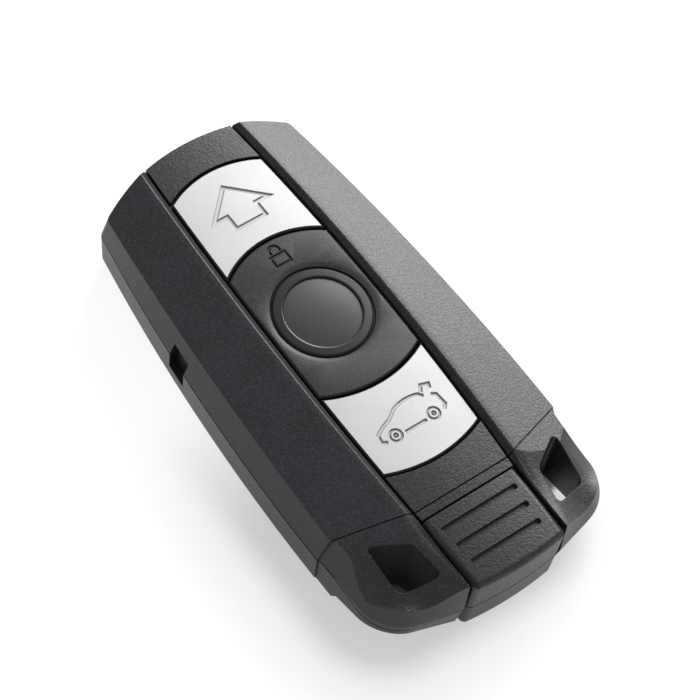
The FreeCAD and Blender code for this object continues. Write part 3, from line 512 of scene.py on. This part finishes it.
FINISHES = {
    "shell_black": moulded_plastic("black moulded plastic", SHELL, 0.42, SHELL_GRAIN, with_lanes=True),
    "panel_black": lock_panel("satin panel plastic", PANEL),
    "disc_black": smooth_plastic("smooth disc plastic", DISC, 0.38, DISC_DOME),
    "button_silver": satin_lacquer("satin lacquer", 0.62, 0.70),
    "keypad_rubber": moulded_plastic("keypad silicone", SILICONE, 0.6, 0.008 * MM, 0.3 * MM),
    "board_green": board_mask("solder mask"),
    "chip_black": moulded_plastic("chip epoxy", EPOXY, 0.5, 0.006 * MM, 0.08 * MM),
    "can_metal": ground_metal("crystal can", (0.72, 0.72, 0.70), 0.30),
    "cell_steel": ground_metal("coin cell steel", (0.74, 0.73, 0.70), 0.28),
    "contact_metal": ground_metal("contact nickel", (0.78, 0.74, 0.62), 0.25),
    "ferrite_grey": moulded_plastic("ferrite", FERRITE, 0.55, 0.012 * MM, 0.2 * MM),
    "coil_copper": ground_metal("enamelled copper", (0.72, 0.33, 0.13), 0.32),
    "frame_grey": moulded_plastic("grey frame nylon", NYLON, 0.5, 0.010 * MM),
    "plunger_white": moulded_plastic("white acetal", ACETAL, 0.4, 0.004 * MM),
    "blade_steel": ground_metal("key blade steel", (0.62, 0.62, 0.60), 0.30, ALONG_Y),
    "pin_steel": ground_metal("pin steel", (0.60, 0.60, 0.58), 0.28),
    "spring_steel": ground_metal("spring steel", (0.55, 0.55, 0.55), 0.30),
}

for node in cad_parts.values():
    slots = node.data.materials
    for index in range(len(slots)):
        slots[index] = FINISHES[slots[index].name.split(".")[0]]
print("finishes:", len(FINISHES))

# %% [markdown]
# ## Engraved pictograms
# The pictograms on the real fob are narrow grooves with sloped walls: one wall catches the light and
# the other lies in shade. A bump would fake them, but the exported mesh would be blank, so they are
# cut. Each path becomes a bar with a trapezium section and mitred corners, laid along the button's own
# surface, and a Boolean takes the bars out of a merged copy of the CAD button, which then stands for
# the node. On the buttons, the groove walls that face the light get a lighter copy of the lacquer as a
# painted highlight, and those that face away get a darker copy as painted shade. The lock panel's
# groove walls are painted near black as shade, and the sides of all three are painted black as the
# shade in the gap beside them. The lock panel also gets the round groove outside its ring.

# %%
GROOVE_DEPTH = 0.22 * MM
GROOVE_WALL = 0.14 * MM
CUT_ABOVE = 0.05 * MM
MERGE = 0.0005 * MM
SHARP_ANGLE = math.radians(18)
FACE_UP = 0.9
HIGH_UP = 1.0
FLOOR, PAINTED_HIGHLIGHT_WALL, PAINTED_SHADE_WALL = range(3)


def round_path(centre, radius, first, last, steps):
    """Points on a circle or, from first to last degrees, on an arc. A circle isn't closed twice."""
    count = steps if last - first == 360 else steps + 1
    turns = [math.radians(first + (last - first) * step / steps) for step in range(count)]
    x, y = centre
    return [(x + radius * math.cos(turn), y + radius * math.sin(turn)) for turn in turns]


def bent(start, end, rise, steps=8):
    """A shallow arc from start to end that stands up by the rise between them."""
    points = []
    for step in range(steps + 1):
        part = step / steps
        x, y = [a + (b - a) * part for a, b in zip(start, end)]
        points.append((x, y + rise * 4 * part * (1 - part)))
    return points


def sideways(a, b):
    """The unit vector to the left of the way from a to b."""
    way = (b - a).normalized()
    return Vector((-way.y, way.x))


def mitres(points, closed):
    """At each point of a path, the sideways step that keeps the bar's edges parallel to the path."""
    steps = []
    for index, here in enumerate(points):
        sides = []
        if closed or index > 0:
            sides.append(sideways(points[index - 1], here))
        if closed or index < len(points) - 1:
            sides.append(sideways(here, points[(index + 1) % len(points)]))
        middle = sum(sides, Vector((0, 0))).normalized()
        steps.append(middle / middle.dot(sides[0]))
    return steps


def wall_of(face):
    """Which part of the groove a bar's face cuts. It looks the other way from the wall it leaves."""
    if face.normal.z < -FACE_UP:
        return FLOOR
    # Walls that face the soft box get the painted highlight, the others the painted shade.
    return PAINTED_HIGHLIGHT_WALL if face.normal.dot(KEY_PLACE) < 0 else PAINTED_SHADE_WALL


def cutting_bar(path, closed, half, surface, finishes):
    """A bar along the path, given in millimetres from the ring, a little out of the surface."""
    points = [Vector((x * MM, y * MM + RING_Y)) for x, y in path]
    wide = half + CUT_ABOVE * GROOVE_WALL / GROOVE_DEPTH
    narrow = half - GROOVE_WALL
    section = [(wide, CUT_ABOVE), (-wide, CUT_ABOVE)]
    section += [(-narrow, -GROOVE_DEPTH), (narrow, -GROOVE_DEPTH)]
    made = bmesh.new()
    rows = []
    for point, side in zip(points, mitres(points, closed)):
        level = surface.ray_cast(Vector((point.x, point.y, HIGH_UP)), Vector((0, 0, -1)))[0].z
        row = [made.verts.new((*(point + side * across), level + up)) for across, up in section]
        rows.append(row)
    following = rows[1:] + rows[:1] if closed else rows[1:]
    for row, after in zip(rows, following):
        for corner in range(4):
            beside = (corner + 1) % 4
            made.faces.new((row[corner], row[beside], after[beside], after[corner]))
    if not closed:
        made.faces.new(rows[0])
        made.faces.new(rows[-1])
    bmesh.ops.recalc_face_normals(made, faces=made.faces)
    for face in made.faces:
        face.material_index = wall_of(face)
    bar = bpy.data.objects.new("bar", bpy.data.meshes.new("bar"))
    made.to_mesh(bar.data)
    made.free()
    for finish in finishes:
        bar.data.materials.append(finish)
    scene.collection.objects.link(bar)
    return bar


def plain_mesh(piece):
    """What the piece's modifiers make of it, as a mesh of its own."""
    bpy.context.view_layer.update()
    evaluated = piece.evaluated_get(bpy.context.evaluated_depsgraph_get())
    return bpy.data.meshes.new_from_object(evaluated)


def merged_copy(node, name):
    """A CAD node's mesh is loose triangles. This is a closed copy, as a new object and its surface."""
    made = bmesh.new()
    made.from_mesh(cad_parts[node].data)
    bmesh.ops.remove_doubles(made, verts=made.verts, dist=MERGE)
    surface = BVHTree.FromBMesh(made)
    made.verts.index_update()
    mesh = bpy.data.meshes.new(name)
    faces = [[v.index for v in f.verts] for f in made.faces]
    mesh.from_pydata([v.co for v in made.verts], [], faces)
    made.free()
    copy = bpy.data.objects.new(name, mesh)
    scene.collection.objects.link(copy)
    return copy, surface


def engraved(node, body, slot, paths, painted_wall_finishes, gap_shade_finish):
    """Stands for a CAD button with grooves cut along the paths. Their floors have the face's finish."""
    piece, surface = merged_copy(node, node + "_engraved")
    piece.data.materials.append(FINISHES[slot])
    piece.data.materials.append(gap_shade_finish)
    # Faces that don't look up take the painted gap shade.
    for face in piece.data.polygons:
        face.material_index = 0 if face.normal.z > FACE_UP else 1
    finishes = (FINISHES[slot], *painted_wall_finishes)
    bars = [cutting_bar(path, closed, half, surface, finishes) for path, closed, half in paths]
    for bar in bars:
        cut = piece.modifiers.new("groove", "BOOLEAN")
        cut.object = bar
        cut.operation = "DIFFERENCE"
        cut.solver = "EXACT"
        cut.material_mode = "TRANSFER"
    piece.data = plain_mesh(piece)
    piece.modifiers.clear()
    for bar in bars:
        bpy.data.objects.remove(bar)
    piece.data.shade_smooth()
    piece.data.set_sharp_from_angle(angle=SHARP_ANGLE)
    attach(piece, body)
    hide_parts(node)
    print(piece.name, len(piece.data.polygons), "faces,", len(bars), "grooves")


# %% [markdown]
# The paths are in millimetres from the ring's centre, each with whether it is closed and its groove's
# half width. The arrow points away from the ring end, and the car stands across the fob with its
# wheels towards the ring end. Its outline is three open strokes and a sill. The padlock is a box with
# a shackle.

# %%
ARROW_HALF = 0.34 * MM
CAR_HALF = 0.27 * MM
WHEEL_HALF = 0.20 * MM
HUB_HALF = 0.16 * MM
LOCK_HALF = 0.24 * MM
RING_HALF = 0.18 * MM
SILL_Y = -20.75
WHEEL_Y = -20.45
WHEELS_X = (-3.05, 3.35)
WHEEL_RADIUS = 0.86
WHEEL_STEPS = 24
HUB_RADIUS = 0.26
HUB_STEPS = 10
SHACKLE_RADIUS = 0.75
SHACKLE_STEPS = 10
SHACKLE_FOOT = 10.85
RING_GROOVE_RADIUS = RING_OUTER / MM + 0.15
RING_STEPS = 96

arrow = [(0.1, 23.4), (4.7, 19.1), (2.6, 19.1), (2.6, 16.8), (-2.2, 16.8), (-2.2, 19.1), (-4.4, 19.1)]
arrow_paths = [(arrow, True, ARROW_HALF)]

bonnet = bent((-5.2, -19.3), (-2.5, -18.15), 0.15)
roof = bent((-0.9, -17.1), (3.2, -17.0), 0.32)
body_line = [(-4.6, SILL_Y), (-5.35, -20.4)] + bonnet + roof + [(3.75, -17.65)]
spoiler = [(3.75, -17.05), (4.35, -16.1), (5.45, -16.45), (5.2, -17.1)]
tail = [(4.75, -17.95), (5.4, -18.3), (5.6, -20.1), (4.95, SILL_Y)]
sill = [(-1.65, SILL_Y), (1.95, SILL_Y)]
car_paths = [(stroke, False, CAR_HALF) for stroke in (body_line, spoiler, tail, sill)]
for wheel_x in WHEELS_X:
    wheel = round_path((wheel_x, WHEEL_Y), WHEEL_RADIUS, 0, 360, WHEEL_STEPS)
    hub = round_path((wheel_x, WHEEL_Y), HUB_RADIUS, 0, 360, HUB_STEPS)
    car_paths += [(wheel, True, WHEEL_HALF), (hub, True, HUB_HALF)]

bow = round_path((0.0, 11.3), SHACKLE_RADIUS, 180, 0, SHACKLE_STEPS)
shackle = [(-SHACKLE_RADIUS, SHACKLE_FOOT)] + bow + [(SHACKLE_RADIUS, SHACKLE_FOOT)]
lock_box = [(-1.2, 8.9), (1.2, 8.9), (1.2, 10.5), (-1.2, 10.5)]
ring_groove = round_path((0.0, 0.0), RING_GROOVE_RADIUS, 0, 360, RING_STEPS)
panel_paths = [(lock_box, True, LOCK_HALF), (shackle, False, LOCK_HALF), (ring_groove, True, RING_HALF)]

# A lighter and a darker copy of the lacquer: painted highlight and painted shade on the groove walls.
painted_highlight_wall = satin_lacquer("satin lacquer with painted highlight", 0.38, 0.46)
painted_shade_wall = satin_lacquer("satin lacquer with painted shade", 0.14, 0.20)
# The lock panel's groove walls are near black, as painted shade in the grooves.
painted_groove_shade = smooth_plastic("polished groove with painted shade", (0.004, 0.004, 0.005), 0.30)
# The sides of the buttons and the panel are painted near black, as the shade in the gap beside them.
painted_gap_shade = smooth_plastic("side with painted gap shade", (0.008, 0.008, 0.009), 0.6)
painted_lacquer_walls = (painted_highlight_wall, painted_shade_wall)
engraved("unlock_button", "unlock", "button_silver", arrow_paths, painted_lacquer_walls, painted_gap_shade)
engraved("trunk_button", "trunk", "button_silver", car_paths, painted_lacquer_walls, painted_gap_shade)
engraved("lock_button", "lock", "panel_black", panel_paths, (painted_groove_shade,) * 2, painted_gap_shade)

# %% [markdown]
# ## Wound wire
# The release spring and the antenna's winding are wire, which CAD keeps as plain tubes. Both are a
# helix, so one Geometry Nodes tree makes them: a spiral with a round section along it, turned and put
# in its place. The radius and length come from the tube that each one stands for.

# %%
HELIX_STEPS = 24
SECTION_CORNERS = 8
WIRE_INPUTS = {
    "Coil radius": "NodeSocketFloat",
    "Wire radius": "NodeSocketFloat",
    "Turns": "NodeSocketFloat",
    "Length": "NodeSocketFloat",
    "Rotation": "NodeSocketVector",
    "Place": "NodeSocketVector",
    "Finish": "NodeSocketMaterial",
}


def wound_wire_tree():
    tree = bpy.data.node_groups.new("wound wire", "GeometryNodeTree")
    tree.interface.new_socket("Geometry", in_out="OUTPUT", socket_type="NodeSocketGeometry")
    for name, kind in WIRE_INPUTS.items():
        tree.interface.new_socket(name, in_out="INPUT", socket_type=kind)
    given = tree.nodes.new("NodeGroupInput").outputs
    spiral = tree.nodes.new("GeometryNodeCurveSpiral")
    section = tree.nodes.new("GeometryNodeCurvePrimitiveCircle")
    sweep = tree.nodes.new("GeometryNodeCurveToMesh")
    place = tree.nodes.new("GeometryNodeTransform")
    realize = tree.nodes.new("GeometryNodeRealizeInstances")
    finish = tree.nodes.new("GeometryNodeSetMaterial")
    result = tree.nodes.new("NodeGroupOutput")
    spiral.inputs["Resolution"].default_value = HELIX_STEPS
    section.inputs["Resolution"].default_value = SECTION_CORNERS
    sweep.inputs["Fill Caps"].default_value = True
    wires = [
        (given["Coil radius"], spiral.inputs["Start Radius"]),
        (given["Coil radius"], spiral.inputs["End Radius"]),
        (given["Turns"], spiral.inputs["Rotations"]),
        (given["Length"], spiral.inputs["Height"]),
        (given["Wire radius"], section.inputs["Radius"]),
        (spiral.outputs["Curve"], sweep.inputs["Curve"]),
        (section.outputs["Curve"], sweep.inputs["Profile Curve"]),
        (sweep.outputs["Mesh"], place.inputs["Geometry"]),
        (given["Rotation"], place.inputs["Rotation"]),
        (given["Place"], place.inputs["Translation"]),
        (place.outputs["Geometry"], realize.inputs["Geometry"]),
        (realize.outputs["Geometry"], finish.inputs["Geometry"]),
        (given["Finish"], finish.inputs["Material"]),
        (finish.outputs["Geometry"], result.inputs["Geometry"]),
    ]
    for source, target in wires:
        tree.links.new(source, target)
    return tree


wire_tree = wound_wire_tree()


def wound_wire(name, node, body, slot, values):
    """A helix as a closed plain mesh, which stands for a CAD node."""
    piece = bpy.data.objects.new(name, bpy.data.meshes.new(name))
    scene.collection.objects.link(piece)
    modifier = piece.modifiers.new("wound wire", "NODES")
    modifier.node_group = wire_tree
    values = {"Finish": FINISHES[slot], **values}
    for socket in wire_tree.interface.items_tree:
        if socket.in_out == "INPUT":
            modifier[socket.identifier] = values[socket.name]
    piece.data = plain_mesh(piece)
    piece.modifiers.clear()
    made = bmesh.new()
    made.from_mesh(piece.data)
    bmesh.ops.remove_doubles(made, verts=made.verts, dist=MERGE)
    bmesh.ops.recalc_face_normals(made, faces=made.faces)
    made.to_mesh(piece.data)
    made.free()
    piece.data.shade_smooth()
    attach(piece, body)
    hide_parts(node)
    print(name, len(piece.data.polygons), "faces")
    return piece


# %% [markdown]
# The spring is open-wound, and its far end rests on the stop in the rear cover. It hangs on the case
# and gets a mesh of its own, though the real one shortens as the release slide moves. The antenna's
# winding is close-wound, in two layers.

# %%
SPRING_WIRE = 0.14 * MM
SPRING_TURNS = 7.5
COIL_WIRE = 0.16 * MM
COIL_PITCH = 2.1 * COIL_WIRE
COIL_LAYERS = 2

low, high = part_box("release_spring")
middle = (low + high) / 2
spring = wound_wire("release_spring_wire", "release_spring", "case", "spring_steel", {
    "Coil radius": (high.z - low.z) / 2 - SPRING_WIRE,
    "Wire radius": SPRING_WIRE,
    "Turns": SPRING_TURNS,
    "Length": high.x - low.x - 2 * SPRING_WIRE,
    "Rotation": (0.0, math.radians(90), 0.0),
    "Place": (low.x + SPRING_WIRE, middle.y, middle.z),
})
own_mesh(spring)

low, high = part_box("antenna_coil")
middle = (low + high) / 2
winding_length = high.y - low.y - 2 * COIL_WIRE
for layer in range(COIL_LAYERS):
    wound_wire("antenna_winding_%d" % (layer + 1), "antenna_coil", "case", "coil_copper", {
        "Coil radius": (high.z - low.z) / 2 - COIL_WIRE * (1 + 2 * layer),
        "Wire radius": COIL_WIRE,
        "Turns": winding_length / COIL_PITCH,
        "Length": winding_length,
        "Rotation": (math.radians(-90), 0.0, 0.0),
        "Place": (middle.x, low.y + COIL_WIRE, middle.z),
    })

# %% [markdown]
# ## Studio
# The fob lies on white paper under a large soft box at its right and rear, which grazes the right lane
# and leaves the left one dark. The sky is white at the horizon and dimmer overhead, as in a room with
# a dark ceiling, so that black plastic stays black where it faces up. The paper glows for the camera
# and in reflections, but not as a light, which keeps its shadow pale. Close to the fob its glow is
# taken away as a painted shadow, most of all at the ring end, and in a spot under each ear it is taken
# away altogether, a painted shadow where hardly any light gets in.

# %%
PAPER_REACH = 3.0
PAPER = 0.25
PAPER_ROUGHNESS = 0.9
PAPER_GLOW = 0.86
FOOT_HALF = Vector((11.0, 29.0, 0.0)) * MM
FOOT_ROUND = 7.5 * MM
FOOT_CENTRE = (-3 * MM, 0.0, 0.0)
NEAR_SHADE = 0.26
NEAR_REACH = 6 * MM
WIDE_SHADE = 0.15
WIDE_REACH = 20 * MM
SHADE_FULL_Y = -14 * MM
SHADE_GONE_Y = 12 * MM
PAINTED_SHADOW_SPOTS = {(-12.3 * MM, -30 * MM, 0.0): 5.0 * MM, (16.2 * MM, -25.8 * MM, 0.0): 3.4 * MM}
SPOT_CORE = 0.6
HORIZON = 0.95
ZENITH = 0.38
KEY_SIZE = 0.38
KEY_POWER = 4.6


def contact_shade(shader):
    """Painted shadow: the share of the paper's glow taken near the fob, outside a rounded foot."""
    outside = shader.place.from_point(FOOT_CENTRE).vector("ABSOLUTE").from_point(FOOT_HALF)
    outside = outside.vector("MAXIMUM", (0, 0, 0)).flat_length() - FOOT_ROUND
    near = (1.0 - outside.between(0, NEAR_REACH)) * NEAR_SHADE
    wide = (1.0 - outside.between(0, WIDE_REACH)) * WIDE_SHADE
    return (near + wide) * (1.0 - shader.axis("Y").between(SHADE_FULL_Y, SHADE_GONE_Y))


def white_paper():
    shader = Shader("white paper")
    glow = shader.add("ShaderNodeLightPath", "Is Camera Ray")
    for kind in ("Is Glossy Ray", "Is Transmission Ray"):
        glow = glow.maximum(shader.add("ShaderNodeLightPath", kind))
    # Taking glow away near the fob paints its shadow.
    glow = glow * (1.0 - contact_shade(shader))
    # Each spot paints a shadow under an ear.
    for spot, reach in PAINTED_SHADOW_SPOTS.items():
        glow = glow * shader.place.from_point(spot).length().between(reach * SPOT_CORE, reach)
    shader.set("Base Color", grey(PAPER))
    shader.set("Roughness", PAPER_ROUGHNESS)
    shader.set("Specular IOR Level", 0.0)
    shader.set("Emission Color", shader.blend(glow, grey(0.0), grey(PAPER_GLOW)))
    shader.set("Emission Strength", 1.0)
    return shader.material


def make_floor():
    made = bmesh.new()
    bmesh.ops.create_grid(made, x_segments=1, y_segments=1, size=PAPER_REACH)
    floor = bpy.data.objects.new("paper", bpy.data.meshes.new("paper"))
    made.to_mesh(floor.data)
    made.free()
    scene.collection.objects.link(floor)
    floor.data.materials.append(white_paper())


def make_sky():
    """White at the horizon and dimmer overhead, from the height of a ray's direction."""
    world = bpy.data.worlds.new("sky")
    world.use_nodes = True
    scene.world = world
    tree = world.node_tree
    background = tree.nodes["Background"]
    sky = tree.nodes.new("ShaderNodeTexCoord")
    parts = tree.nodes.new("ShaderNodeSeparateXYZ")
    ramp = tree.nodes.new("ShaderNodeMapRange")
    tree.links.new(sky.outputs["Generated"], parts.inputs[0])
    tree.links.new(parts.outputs["Z"], ramp.inputs["Value"])
    ramp.inputs["To Min"].default_value = HORIZON
    ramp.inputs["To Max"].default_value = ZENITH
    tree.links.new(ramp.outputs["Result"], background.inputs["Strength"])
    background.inputs["Color"].default_value = (*grey(1.0), 1.0)


def make_key_light():
    light = bpy.data.lights.new("soft box", "AREA")
    light.size = KEY_SIZE
    light.energy = KEY_POWER
    lamp = bpy.data.objects.new("soft box", light)
    lamp.location = KEY_PLACE
    lamp.rotation_euler = KEY_PLACE.to_track_quat("Z", "Y").to_euler()
    scene.collection.objects.link(lamp)


make_floor()
make_sky()
make_key_light()
print("soft box at", [round(v, 2) for v in KEY_PLACE], "of", KEY_POWER, "W")
